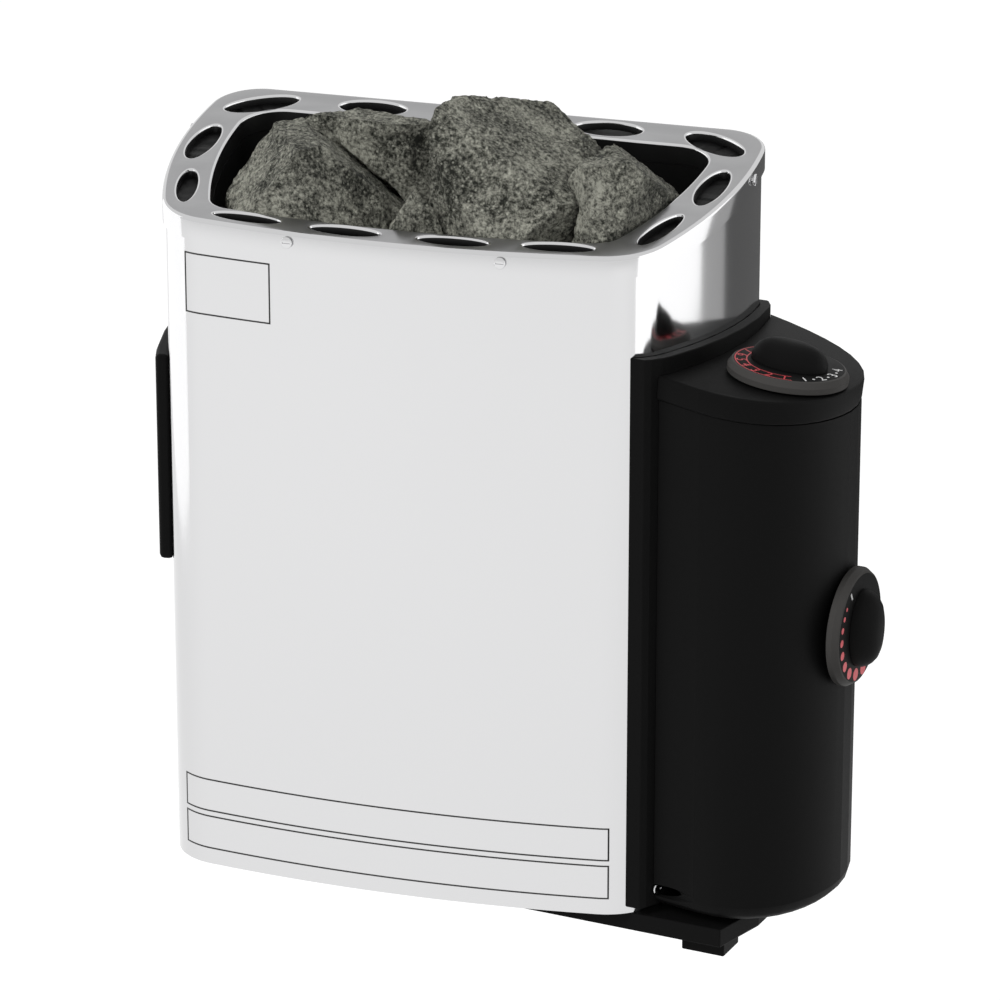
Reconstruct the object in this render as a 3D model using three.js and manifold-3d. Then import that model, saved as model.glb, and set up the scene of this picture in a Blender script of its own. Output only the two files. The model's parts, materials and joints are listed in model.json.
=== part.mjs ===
// A small wall-hung electric sauna heater with a control box on its right side.
// X runs to the right, Y runs to the wall and Z runs up.
// The origin is the middle of the wall bracket's back face.
import * as THREE from "three";
import { mergeVertices } from "three/addons/utils/BufferGeometryUtils.js";
import Module from "manifold-3d";

const wasm = await Module();
wasm.setup();

// Driving sizes in millimetres and degrees.
const GAP = 0.3;
const SHEET = 1.5;
const BODY_WIDTH = 316;
const BODY_DEPTH = 181;
const WALL_GAP = 19;
const CASING_BOTTOM = -200;
const CASING_HEIGHT = 374;
const FRONT_RADIUS = 780;
const CORNER_RADIUS = 34;
const SIDE_RADIUS = 300;
const BACK_RADIUS = 25;
const SIDE_HEADING = 69.3;
const CHORD_INSET = 27.5;
const CHORD_START = 11;

const HOOK_X = 60;
const HOOK_HEIGHT = 40;
const HOOK_WIDTH = 20;
const PLATE_WIDTH = 190;
const PLATE_HEIGHT = 130;
const SPACER_HEIGHT = 60;
const BACK_RETURN = 43;
const PANEL_LAP = 11;

const TOP_TILT = 7.2;
const COLLAR_SKIRT = 12;
const COLLAR_LIP = 11;
const RING_FRONT = 17;
const RING_SIDE = 24.5;
const RING_BACK = 26;
const OPENING_CORNER = 16;
const OPENING_BACK_CORNER = 22;
const SCREW_X = 59;
const SCREW_DIAMETER = 6.4;
const SCREW_DROP = 5.5;
const SCREW_HEAD = 1.4;

const LINER_BOTTOM = 95;
const SHIELD_INSET = 12;
const ELEMENT_DIAMETER = 8;
const ELEMENT_SPACING = 78;
const ELEMENT_LEG_GAP = 60;
const ELEMENT_TOP = 300;
const ELEMENT_BOTTOM = 32;
const PLATE_LEVEL = 50;
const SENSOR_DEPTH = 70;
const SENSOR_INSET = 29;
const STONE_CUTS = 9;
const STONE_GAP = 0.6;

const BOX_DEPTH = 94;
const BOX_FRONT = 5;
const BOX_BACK = 158;
const BOX_BOTTOM = 4;
const BOX_WALL = 2.5;
const BOX_ROUND = 9;
const BOX_ANGLE = 8.1;
const LID_EDGE_HEIGHT = 301;
const LID_TILT = 5.5;
const LID_BACK_TILT = 3.8;
const LID_THICKNESS = 13;
const FLANGE_THICKNESS = 6;
const FLANGE_TOP = 319;
const FLANGE_FALL = 5.2;
const FLANGE_FRONT = 1.8;
const FLANGE_BACK = 164;
const FLANGE_SCREW_HEIGHT = 14;

const DIAL_RADIUS = 32.5;
const DIAL_THICKNESS = 7;
const GRIP_LENGTH = 42;
const GRIP_WIDTH = 15;
const GRIP_HEIGHT = 12.5;
const GRIP_ROUND = 4.6;
const SHAFT_RADIUS = 3;
const TIMER_OUT = 61;
const TIMER_ALONG = 58;
const THERMOSTAT_ALONG = 68;
const THERMOSTAT_HEIGHT = 162;
const RESET_OUT = 48;
const RESET_ALONG = 96;
const TIMER_BODY_DEPTH = 42;
const BUTTON_RADIUS = 5;
const BUTTON_TRAVEL = 3;
const TRAY_HEIGHT = 11;
const COVER_LOW = 166;
const COVER_HIGH = 285;
const COVER_THICKNESS = 8;

const BODY_FRONT = -WALL_GAP - BODY_DEPTH;
const BODY_BACK = -WALL_GAP;

const STEEL = { color: 0xc9cbcc, roughness: 0.25, metalness: 1 };
const BRUSHED = { color: 0x9a9c9e, roughness: 0.4, metalness: 1 };
const DARK_STEEL = { color: 0x3c3d3e, roughness: 0.55, metalness: 0.8 };
const BLACK_PLASTIC = { color: 0x1c1c1c, roughness: 0.55, metalness: 0 };
const GREY_PLASTIC = { color: 0x3a3a3a, roughness: 0.5, metalness: 0 };
const CERAMIC = { color: 0xd8d4c8, roughness: 0.6, metalness: 0 };
const COPPER = { color: 0xb87333, roughness: 0.35, metalness: 1 };
const RED_PLASTIC = { color: 0xb02020, roughness: 0.5, metalness: 0 };
const STONE = { color: 0x6c6a60, roughness: 0.95, metalness: 0 };

const heater = new THREE.Group();
heater.name = "sauna_heater";

function radians(degrees) {
  return THREE.MathUtils.degToRad(degrees);
}

// A closed solid from a three.js geometry, moved by a matrix.
function solid(geometry, matrix = new THREE.Matrix4()) {
  const bare = geometry.index ? geometry.toNonIndexed() : geometry.clone();
  bare.deleteAttribute("normal");
  bare.deleteAttribute("uv");
  bare.applyMatrix4(matrix);
  const merged = mergeVertices(bare, 1e-4);
  return new wasm.Manifold(
    new wasm.Mesh({
      numProp: 3,
      vertProperties: new Float32Array(merged.attributes.position.array),
      triVerts: new Uint32Array(merged.index.array),
    }),
  );
}

// Adds one named piece to a group.
function addPiece(parent, name, body, finish) {
  const data = body.getMesh();
  const geometry = new THREE.BufferGeometry();
  geometry.setAttribute("position", new THREE.BufferAttribute(data.vertProperties, data.numProp));
  geometry.setIndex(new THREE.BufferAttribute(data.triVerts, 1));
  geometry.computeVertexNormals();
  const mesh = new THREE.Mesh(geometry, new THREE.MeshStandardMaterial(finish));
  mesh.name = name;
  parent.add(mesh);
}

// A plan outline raised from one height to another.
function prism(points, low, high, matrix) {
  const geometry = new THREE.ExtrudeGeometry(new THREE.Shape(points), {
    depth: high - low,
    bevelEnabled: false,
  });
  geometry.translate(0, 0, low);
  return solid(geometry, matrix);
}

// A plan outline raised with rounded top and bottom edges, kept inside the outline.
function roundedPrism(points, low, high, round, matrix) {
  const geometry = new THREE.ExtrudeGeometry(new THREE.Shape(points), {
    depth: high - low - 2 * round,
    bevelEnabled: true,
    bevelSize: round,
    bevelThickness: round,
    bevelOffset: -round,
    bevelSegments: 3,
  });
  geometry.translate(0, 0, low + round);
  return solid(geometry, matrix);
}

function block(x0, x1, y0, y1, z0, z1, matrix) {
  const geometry = new THREE.BoxGeometry(x1 - x0, y1 - y0, z1 - z0);
  geometry.translate((x0 + x1) / 2, (y0 + y1) / 2, (z0 + z1) / 2);
  return solid(geometry, matrix);
}

// A round bar standing along Z.
function rod(radius, low, high, sides = 24, matrix) {
  const geometry = new THREE.CylinderGeometry(radius, radius, high - low, sides);
  geometry.rotateX(Math.PI / 2);
  geometry.translate(0, 0, (low + high) / 2);
  return solid(geometry, matrix);
}

// A round tube bent along a curve.
function bentRod(curve, radius, steps, sides) {
  const circle = new THREE.Shape();
  circle.absarc(0, 0, radius, 0, 2 * Math.PI, false);
  const geometry = new THREE.ExtrudeGeometry(circle, {
    steps,
    curveSegments: sides,
    bevelEnabled: false,
    extrudePath: curve,
  });
  return solid(geometry);
}

function stadium(length, width, turn = 0) {
  const points = [];
  const reach = (length - width) / 2;
  for (const end of [0, 1]) {
    for (let step = 0; step <= 6; step += 1) {
      const angle = -Math.PI / 2 + Math.PI * (end + step / 6);
      const side = end === 0 ? reach : -reach;
      points.push(new THREE.Vector2(side + Math.cos(angle) * width / 2, Math.sin(angle) * width / 2));
    }
  }
  return points.map((point) => point.rotateAround(new THREE.Vector2(), radians(turn)));
}

function ellipse(x, y, length, width, turn) {
  const curve = new THREE.EllipseCurve(x, y, length / 2, width / 2, 0, 2 * Math.PI, false, radians(turn));
  return curve.getPoints(18).slice(0, -1);
}

// A mirrored plan of tangent arcs: bowed front, front corners, bowed sides, back corners and flat back.
function arcPlan(width, depth, front, corner, back, grow) {
  const side = SIDE_RADIUS;
  const sideStart = radians(SIDE_HEADING);
  const lean = (width / 2 - side + (side - corner) * Math.sin(sideStart)) / (FRONT_RADIUS - corner);
  const frontEnd = Math.asin(THREE.MathUtils.clamp(lean, 0.02, 0.6));
  const spent =
    FRONT_RADIUS * (1 - Math.cos(frontEnd)) + corner * (Math.cos(frontEnd) - Math.cos(sideStart));
  const turnBack = (depth - spent - side * Math.cos(sideStart) - back) / (back - side);
  const sideEnd = Math.acos(Math.min(turnBack, Math.cos(sideStart) - 0.02));
  const arcs = [
    [FRONT_RADIUS, 0, frontEnd, 5],
    [corner, frontEnd, sideStart, 6],
    [side, sideStart, sideEnd, 5],
    [back, sideEnd, Math.PI, 7],
  ];
  const right = [new THREE.Vector2(0, front - grow)];
  for (const [radius, from, to, steps] of arcs) {
    const start = right[right.length - 1];
    const reach = radius + grow;
    for (let step = 1; step <= steps; step += 1) {
      const heading = from + ((to - from) * step) / steps;
      const x = start.x + reach * (Math.sin(heading) - Math.sin(from));
      const y = start.y + reach * (Math.cos(from) - Math.cos(heading));
      right.push(new THREE.Vector2(x, y));
    }
  }
  const left = right.slice(1).reverse();
  return right.concat(left.map((point) => new THREE.Vector2(-point.x, point.y)));
}

function bodyPlan(grow) {
  return arcPlan(BODY_WIDTH, BODY_DEPTH, BODY_FRONT, CORNER_RADIUS, BACK_RADIUS, grow);
}

function openingPlan(grow) {
  const width = BODY_WIDTH - 2 * RING_SIDE;
  const depth = BODY_DEPTH - RING_FRONT - RING_BACK;
  return arcPlan(width, depth, BODY_FRONT + RING_FRONT, OPENING_CORNER, OPENING_BACK_CORNER, grow);
}

// Half the width of a plan at a distance from the wall.
function halfWidthAt(points, y) {
  const index = points.findIndex((point) => point.y > y);
  const before = points[index - 1];
  const after = points[index];
  return before.x + ((after.x - before.x) * (y - before.y)) / (after.y - before.y);
}

// Moves each point of a counter-clockwise plan inwards along its own normal.
function insetPlan(points, distance) {
  const count = points.length;
  return points.map((point, index) => {
    const before = points[(index + count - 1) % count];
    const after = points[(index + 1) % count];
    const along = after.clone().sub(before).normalize();
    return new THREE.Vector2(point.x - along.y * distance, point.y + along.x * distance);
  });
}

// Places a frame at a point, turned by angles in degrees.
function frameAt(x, y, z, turnX = 0, turnY = 0, turnZ = 0) {
  const turn = new THREE.Euler(radians(turnX), radians(turnY), radians(turnZ));
  const matrix = new THREE.Matrix4().makeRotationFromEuler(turn);
  return matrix.setPosition(x, y, z);
}

function groupAt(parent, name, matrix) {
  const group = new THREE.Group();
  group.name = name;
  group.applyMatrix4(matrix);
  parent.add(group);
  return group;
}

// The sloping top starts at the front edge of the collar and climbs to the wall; upright walls stay upright.
const topRise = Math.tan(radians(TOP_TILT));
const topFrame = new THREE.Matrix4().set(
  1, 0, 0, 0,
  0, 1, 0, BODY_FRONT,
  0, topRise, 1, CASING_BOTTOM + CASING_HEIGHT,
  0, 0, 0, 1,
);

// Everything above the sloping top, lowered by a distance.
function aboveTop(drop) {
  return block(-400, 400, -200, 500, -drop, 300, topFrame);
}

const casingTop = CASING_BOTTOM + CASING_HEIGHT + 60;

// The control box's own frame: X runs out from the side of the casing, Y along it to the wall.
const boxFrame = frameAt(
  BODY_WIDTH / 2 - CHORD_INSET,
  BODY_FRONT + CHORD_START,
  CASING_BOTTOM,
  0,
  0,
  -BOX_ANGLE,
);
const boxInverse = boxFrame.clone().invert();
const coverFrame = frameAt(
  CHORD_INSET - BODY_WIDTH / 2,
  BODY_FRONT + CHORD_START,
  CASING_BOTTOM,
  0,
  0,
  BOX_ANGLE,
);

// Screws that hold the collar's skirt to the casing: place on the casing and the way the head faces.
const frontAtScrew = BODY_FRONT + FRONT_RADIUS - Math.sqrt(FRONT_RADIUS ** 2 - SCREW_X ** 2);
const sideX = Math.max(...bodyPlan(0).map((point) => point.x));
const sideY = bodyPlan(0).find((point) => point.x === sideX).y;

function screwHeight(y) {
  return CASING_BOTTOM + CASING_HEIGHT + (y - BODY_FRONT) * topRise - SCREW_DROP;
}

const collarScrews = {
  collar_screw_front_left: frameAt(-SCREW_X, frontAtScrew, screwHeight(frontAtScrew), 90),
  collar_screw_front_right: frameAt(SCREW_X, frontAtScrew, screwHeight(frontAtScrew), 90),
  collar_screw_left: frameAt(-sideX, sideY, screwHeight(sideY), 0, -90),
  collar_screw_right: frameAt(sideX, sideY, screwHeight(sideY), 0, 90),
};

// A round-headed screw standing along Z, with a slot across the head.
function slottedScrew(diameter, depth, seat, matrix) {
  const top = seat + SCREW_HEAD;
  return roundedPrism(ellipse(0, 0, diameter, diameter, 0), seat, top, 0.5, matrix)
    .add(rod(diameter * 0.3, -depth, seat + 0.6, 12, matrix))
    .subtract(block(-diameter * 0.35, diameter * 0.35, -0.4, 0.4, top - 0.6, top + 2, matrix));
}

// Casing: one sheet wrapped round the front and sides, turned in at the back corners.
function sideWindow(low, high, matrix) {
  return block(-30, 40, 30, 130, low, high, matrix);
}

const backHalf = BODY_WIDTH / 2 - BACK_RETURN;
const panelHalf = backHalf + PANEL_LAP;
let casing = prism(bodyPlan(0), CASING_BOTTOM, casingTop)
  .subtract(prism(bodyPlan(-SHEET), CASING_BOTTOM - 1, casingTop + 1))
  .subtract(aboveTop(SHEET + GAP))
  .subtract(block(-backHalf, backHalf, BODY_BACK - 8, BODY_BACK + 8, CASING_BOTTOM - 1, casingTop + 1))
  .subtract(sideWindow(60, 200, boxFrame))
  .subtract(block(-40, 30, 40, 122, 178, 262, coverFrame));
for (const [name, matrix] of Object.entries(collarScrews)) {
  casing = casing.subtract(rod(SCREW_DIAMETER * 0.3 + GAP, -8, 4, 16, matrix));
  addPiece(heater, name, slottedScrew(SCREW_DIAMETER, 6, SHEET + 3 * GAP, matrix), STEEL);
}
addPiece(heater, "outer_casing", casing, STEEL);

// Back panel with the two slots it hangs by.
const panelBack = BODY_BACK - SHEET - GAP;
const hookFront = panelBack - SHEET - 4;
let panel = block(-panelHalf, panelHalf, panelBack - SHEET, panelBack, CASING_BOTTOM + 6, casingTop)
  .subtract(aboveTop(SHEET + GAP));

// Wall bracket: a plate on the wall with two upturned hooks and four screw holes.
let bracket = block(-PLATE_WIDTH / 2, PLATE_WIDTH / 2, -2, 0, -PLATE_HEIGHT / 2, PLATE_HEIGHT / 2);
for (const side of [-1, 1]) {
  const x = side * HOOK_X;
  const half = HOOK_WIDTH / 2;
  const slotTop = HOOK_HEIGHT + GAP;
  panel = panel.subtract(block(x - 13, x + 13, panelBack - 6, panelBack + 4, slotTop - 16, slotTop));
  bracket = bracket
    .add(block(x - half, x + half, hookFront, -1, HOOK_HEIGHT - 2.5, HOOK_HEIGHT))
    .add(block(x - half, x + half, hookFront, hookFront + 2, HOOK_HEIGHT - 1, HOOK_HEIGHT + 12));
  for (const level of [-1, 1]) {
    const hole = frameAt(side * (PLATE_WIDTH / 2 - 14), 0, level * (PLATE_HEIGHT / 2 - 14), 90);
    bracket = bracket.subtract(rod(3, -6, 6, 16, hole));
  }
}
addPiece(heater, "wall_bracket", bracket, BRUSHED);

// Two spacers keep the lower back off the wall.
for (const side of [-1, 1]) {
  const place = frameAt(side * 80, 0, CASING_BOTTOM + SPACER_HEIGHT, 90);
  const foot = roundedPrism(ellipse(0, 0, 18, 18, 0), 0, WALL_GAP + SHEET, 1, place);
  const tail = rod(3, WALL_GAP, WALL_GAP + 8, 12, place);
  panel = panel.subtract(rod(3 + GAP, WALL_GAP - 2, WALL_GAP + 12, 12, place));
  addPiece(heater, side < 0 ? "wall_spacer_left" : "wall_spacer_right", foot.add(tail), BLACK_PLASTIC);
}
addPiece(heater, "back_panel", panel, BRUSHED);

// Collar: a flat ring on the sloping top with a skirt outside the casing and a lip inside the opening.
const collarHoles = [ellipse(0, 168.5, 38, 18, 0)];
for (const side of [-1, 1]) {
  collarHoles.push(
    ellipse(side * 68, 168.5, 38, 18, 0),
    ellipse(side * 130.5, 160.5, 42, 19, side * -33),
    ellipse(side * 144.5, 104.5, 46, 14, side * 88),
    ellipse(side * 132.5, 47, 42, 10.5, side * 75),
    ellipse(side * 86.5, 14.3, 39, 9.5, side * 5),
    ellipse(side * 30, 9.6, 39, 10, side * 1.5),
  );
}

// Moves a plan from the part's frame to the front edge of the collar.
function fromFront(points) {
  return points.map((point) => new THREE.Vector2(point.x, point.y - BODY_FRONT));
}

let collar = roundedPrism(fromFront(bodyPlan(SHEET + GAP)), -COLLAR_SKIRT, 0, 1.3, topFrame)
  .subtract(prism(fromFront(bodyPlan(GAP)), -COLLAR_SKIRT - 1, -SHEET, topFrame))
  .add(prism(fromFront(openingPlan(SHEET)), -COLLAR_LIP, -SHEET / 2, topFrame))
  .subtract(prism(fromFront(openingPlan(0)), -COLLAR_LIP - 1, 1, topFrame));
for (const hole of collarHoles) {
  collar = collar.subtract(prism(hole, -SHEET - 1, 1, topFrame));
}
for (const matrix of Object.values(collarScrews)) {
  collar = collar.subtract(rod(SCREW_DIAMETER * 0.3 + GAP, -8, 6, 16, matrix));
}
addPiece(heater, "top_collar", collar, BRUSHED);

// Stone container: the inner wall that holds the stones, hung just under the collar's lip.
const linerBottom = CASING_BOTTOM + LINER_BOTTOM;
let liner = prism(openingPlan(SHEET), linerBottom, casingTop)
  .subtract(prism(openingPlan(0), linerBottom - 1, casingTop + 1))
  .subtract(aboveTop(COLLAR_LIP + GAP));
// Heat shield: a second sheet between the casing and the stone container, open at the back.
const shieldBottom = CASING_BOTTOM + LINER_BOTTOM + 5;
const shieldHalf = backHalf - PANEL_LAP;
const shield = prism(bodyPlan(-SHIELD_INSET), shieldBottom, casingTop)
  .subtract(prism(bodyPlan(-SHIELD_INSET - SHEET), shieldBottom - 1, casingTop + 1))
  .subtract(aboveTop(COLLAR_LIP + 8))
  .subtract(block(-shieldHalf, shieldHalf, BODY_BACK - 24, BODY_BACK, shieldBottom - 1, casingTop + 1));
addPiece(heater, "heat_shield", shield, BRUSHED);

// Three hairpin heating elements stand through a grate and are held by a plate below it.
const elementMiddle = BODY_FRONT + RING_FRONT + (BODY_DEPTH - RING_FRONT - RING_BACK) / 2;
const elementRadius = ELEMENT_DIAMETER / 2;
let grate = prism(openingPlan(-GAP), linerBottom, linerBottom + 3);
const plateFloor = CASING_BOTTOM + PLATE_LEVEL;
let elementPlate = block(-112, 112, elementMiddle - 46, elementMiddle + 46, plateFloor, plateFloor + 3);
for (let index = 0; index < 3; index += 1) {
  const x = (index - 1) * ELEMENT_SPACING;
  const bend = ELEMENT_LEG_GAP / 2;
  const low = CASING_BOTTOM + ELEMENT_BOTTOM;
  const high = CASING_BOTTOM + ELEMENT_TOP - bend;
  const path = new THREE.CurvePath();
  path.add(
    new THREE.LineCurve3(
      new THREE.Vector3(x, elementMiddle - bend, low),
      new THREE.Vector3(x, elementMiddle - bend, high),
    ),
  );
  const arc = [];
  for (let step = 0; step <= 8; step += 1) {
    const angle = Math.PI - (Math.PI * step) / 8;
    arc.push(new THREE.Vector3(x, elementMiddle + bend * Math.cos(angle), high + bend * Math.sin(angle)));
  }
  path.add(new THREE.CatmullRomCurve3(arc));
  path.add(
    new THREE.LineCurve3(
      new THREE.Vector3(x, elementMiddle + bend, high),
      new THREE.Vector3(x, elementMiddle + bend, low),
    ),
  );
  addPiece(heater, `heating_element_${index + 1}`, bentRod(path, elementRadius, 36, 5), DARK_STEEL);
  for (const side of [-1, 1]) {
    const leg = frameAt(x, elementMiddle + side * bend, 0);
    const clear = rod(elementRadius + 0.6, CASING_BOTTOM, linerBottom + 10, 16, leg);
    grate = grate.subtract(clear);
    elementPlate = elementPlate.subtract(clear);
  }
}
for (let slot = 0; slot < 4; slot += 1) {
  const x = (slot - 1.5) * ELEMENT_SPACING * 0.68;
  const place = frameAt(x, elementMiddle, 0);
  grate = grate.subtract(prism(stadium(78, 9, 90), linerBottom - 1, linerBottom + 5, place));
}
addPiece(heater, "stone_grate", grate, DARK_STEEL);
addPiece(heater, "element_plate", elementPlate, BRUSHED);

// Bottom plate with air slots, and the terminal block that stands on it.
const plateLow = CASING_BOTTOM + 2;
let bottomPlate = prism(bodyPlan(-SHEET - GAP), plateLow, plateLow + SHEET);
bottomPlate = bottomPlate.subtract(block(-200, 200, panelBack - SHEET - GAP, 0, plateLow - 1, plateLow + 5));
for (const y of [-70, -100, -150]) {
  for (const x of [-85, 85]) {
    bottomPlate = bottomPlate.subtract(prism(stadium(70, 8), plateLow - 1, plateLow + 5, frameAt(x, y, 0)));
  }
}
addPiece(heater, "bottom_plate", bottomPlate, DARK_STEEL);
const blockLow = plateLow + SHEET + GAP;
let terminals = block(-34, 34, -124, -96, blockLow, blockLow + 20);
for (let pole = 0; pole < 5; pole += 1) {
  const place = frameAt((pole - 2) * 13, -110, 0);
  terminals = terminals.subtract(rod(3.5, blockLow + 9, blockLow + 30, 12, place));
}
addPiece(heater, "terminal_block", terminals, CERAMIC);

// Control box on the right side.
const box = groupAt(heater, "control_box", boxFrame);

function boxPlan(inset) {
  const shape = new THREE.Shape();
  shape.moveTo(-24, BOX_FRONT + 10);
  shape.lineTo(BOX_DEPTH * 0.36, BOX_FRONT);
  shape.bezierCurveTo(BOX_DEPTH * 0.79, BOX_FRONT - 6, BOX_DEPTH, 36, BOX_DEPTH, 68);
  shape.bezierCurveTo(BOX_DEPTH, 112, BOX_DEPTH * 0.64, BOX_BACK - 18, 6, BOX_BACK);
  shape.lineTo(-24, BOX_BACK + 10);
  const points = shape.getPoints(10);
  return inset === 0 ? points : insetPlan(points, inset);
}

function casingInBox(grow) {
  return prism(bodyPlan(grow), -300, 300, boxInverse);
}

const lidFrame = frameAt(BOX_DEPTH, 0, LID_EDGE_HEIGHT, -LID_BACK_TILT, LID_TILT);

// Everything above the lid's plane, lowered by a distance along its normal.
function aboveLid(drop) {
  return block(-300, 100, -100, 300, -drop, 200, lidFrame);
}

const timerPlace = lidFrame.clone().multiply(frameAt(TIMER_OUT - BOX_DEPTH, TIMER_ALONG, 0));
const thermostatPlace = frameAt(BOX_DEPTH, THERMOSTAT_ALONG, THERMOSTAT_HEIGHT, 0, 90, 0);
const resetPlace = frameAt(RESET_OUT, RESET_ALONG, BOX_BOTTOM);
const glandPlace = frameAt(RESET_OUT - 16, RESET_ALONG + 30, BOX_BOTTOM);

const flangeOuter = FLANGE_THICKNESS + GAP;

// The screw low on the front end of the side flange stands square to its curve.
const flangeEdge = bodyPlan(flangeOuter).map((point) => {
  return new THREE.Vector3(point.x, point.y, 0).applyMatrix4(boxInverse);
});
const screwIndex = flangeEdge.findIndex((point) => point.y > FLANGE_FRONT + 4 && point.x > -BOX_DEPTH);
const screwSpot = flangeEdge[screwIndex];
const edgeRun = flangeEdge[screwIndex + 1].clone().sub(flangeEdge[screwIndex - 1]);
const screwTurn = THREE.MathUtils.radToDeg(Math.atan2(edgeRun.y, edgeRun.x));
const flangeScrewPlace = frameAt(screwSpot.x, screwSpot.y, FLANGE_SCREW_HEIGHT, 0, 0, screwTurn)
  .multiply(frameAt(0, 0, 0, 90));

const housing = roundedPrism(boxPlan(0), BOX_BOTTOM, 400, BOX_ROUND)
  .subtract(roundedPrism(boxPlan(BOX_WALL), BOX_BOTTOM + BOX_WALL, 420, BOX_ROUND - BOX_WALL / 2))
  .subtract(casingInBox(flangeOuter + GAP))
  .subtract(aboveLid(LID_THICKNESS + GAP))
  .subtract(rod(SHAFT_RADIUS + 3, -20, 20, 20, thermostatPlace))
  .subtract(rod(5 + GAP, -10, 10, 20, resetPlace))
  .subtract(rod(8 + GAP, -10, 10, 20, glandPlace))
  .subtract(rod(SCREW_DIAMETER / 2 + 2 * GAP, 0, 30, 16, flangeScrewPlace));
addPiece(box, "control_housing", housing, BLACK_PLASTIC);

const lidPlace = lidFrame.clone().multiply(frameAt(-BOX_DEPTH, 0, 0));
const lid = roundedPrism(boxPlan(-1.4), -LID_THICKNESS, 0, 1.6, lidPlace)
  .subtract(prism(boxPlan(BOX_WALL), -LID_THICKNESS - 1, -3, lidPlace))
  .subtract(casingInBox(flangeOuter + GAP))
  .subtract(rod(SHAFT_RADIUS + 3, -20, 20, 20, timerPlace));
addPiece(box, "housing_lid", lid, BLACK_PLASTIC);

// Side flange: a curved frame that hugs the casing and carries the control box.
const flange = casingInBox(flangeOuter)
  .subtract(casingInBox(GAP))
  .intersect(block(-24, 40, FLANGE_FRONT, FLANGE_BACK, BOX_BOTTOM, FLANGE_TOP))
  .subtract(block(-60, 60, -40, 260, 0, 60, frameAt(0, 0, FLANGE_TOP, -FLANGE_FALL)))
  .subtract(sideWindow(60, 200))
  .subtract(rod(SCREW_DIAMETER * 0.3 + GAP, -5, 4, 16, flangeScrewPlace));
addPiece(box, "side_flange", flange, BLACK_PLASTIC);
addPiece(box, "flange_screw", slottedScrew(SCREW_DIAMETER, 4, GAP, flangeScrewPlace), STEEL);

// A round dial with a bar grip on top, standing along Z.
function dialDisc(matrix) {
  const outline = ellipse(0, 0, 2 * DIAL_RADIUS, 2 * DIAL_RADIUS, 0);
  return roundedPrism(outline, 1, 1 + DIAL_THICKNESS, 1.2, matrix)
    .subtract(rod(SHAFT_RADIUS + GAP, -1, DIAL_THICKNESS + 5, 16, matrix));
}

function barGrip(turn, matrix) {
  const low = 1 + DIAL_THICKNESS + GAP;
  const base = roundedPrism(ellipse(0, 0, GRIP_LENGTH + 2, GRIP_LENGTH + 2, 0), low, low + 4, 1, matrix);
  const outline = stadium(GRIP_LENGTH, GRIP_WIDTH, turn);
  const bar = roundedPrism(outline, low + 1, low + GRIP_HEIGHT, GRIP_ROUND, matrix);
  return base.add(bar).subtract(rod(SHAFT_RADIUS + GAP, low - 1, low + 9, 16, matrix));
}

addPiece(box, "timer_dial", dialDisc(timerPlace), GREY_PLASTIC);
addPiece(box, "timer_knob", barGrip(24, timerPlace), BLACK_PLASTIC);
const shaftTop = 1 + DIAL_THICKNESS + 8;
addPiece(box, "timer_shaft", rod(SHAFT_RADIUS, -12, shaftTop, 16, timerPlace), BRUSHED);
const timerTop = -LID_THICKNESS - GAP;
const timerBody = block(-20, 20, -20, 20, timerTop - TIMER_BODY_DEPTH, timerTop, timerPlace)
  .subtract(rod(SHAFT_RADIUS + GAP, timerTop - 8, 10, 16, timerPlace));
addPiece(box, "timer_body", timerBody, CERAMIC);

addPiece(box, "thermostat_dial", dialDisc(thermostatPlace), GREY_PLASTIC);
addPiece(box, "thermostat_knob", barGrip(4, thermostatPlace), BLACK_PLASTIC);
addPiece(box, "thermostat_shaft", rod(SHAFT_RADIUS, -12, shaftTop, 16, thermostatPlace), BRUSHED);
const thermostatBody = block(-22, 22, -20, 20, -34, -BOX_WALL - 3, thermostatPlace)
  .subtract(rod(SHAFT_RADIUS + GAP, -13, 10, 16, thermostatPlace));
addPiece(box, "thermostat_body", thermostatBody, CERAMIC);

// Overheat limiter above the floor of the box, with a button that is pressed up from below.
const limiterLow = BOX_WALL + 8 + BUTTON_TRAVEL;
const limiter = block(-14, 14, -14, 14, limiterLow, limiterLow + 26, resetPlace)
  .subtract(rod(2 + GAP, limiterLow - 1, limiterLow + 10, 12, resetPlace));
addPiece(box, "limiter_body", limiter, GREY_PLASTIC);
const button = rod(BUTTON_RADIUS, -3, BOX_WALL + 3, 20, resetPlace)
  .add(rod(2, 0, limiterLow + 4, 12, resetPlace));
addPiece(box, "reset_button", button, RED_PLASTIC);

// Supply inlet in the floor of the box: a threaded gland with its locking nut.
const gland = rod(8, -8, BOX_WALL + 12, 20, glandPlace)
  .add(rod(11, -10, -GAP, 6, glandPlace))
  .subtract(rod(5, -20, 40, 16, glandPlace));
addPiece(box, "cable_gland", gland, GREY_PLASTIC);
const glandNut = rod(11.5, BOX_WALL + GAP, BOX_WALL + 6, 6, glandPlace)
  .subtract(rod(8 + GAP, -5, 20, 20, glandPlace));
addPiece(box, "gland_nut", glandNut, GREY_PLASTIC);

// Tray under the casing and the clamp block below it.
const trayPlan = [
  new THREE.Vector2(-100, 5),
  new THREE.Vector2(50, 5),
  new THREE.Vector2(58, 40),
  new THREE.Vector2(58, 60),
  new THREE.Vector2(-100, 60),
];
addPiece(box, "under_tray", prism(trayPlan, -TRAY_HEIGHT, -GAP), BLACK_PLASTIC);
const clamp = block(24, 49, 13, 34, -TRAY_HEIGHT - 9, -TRAY_HEIGHT - GAP);
addPiece(box, "tray_clamp", clamp, BLACK_PLASTIC);

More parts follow.
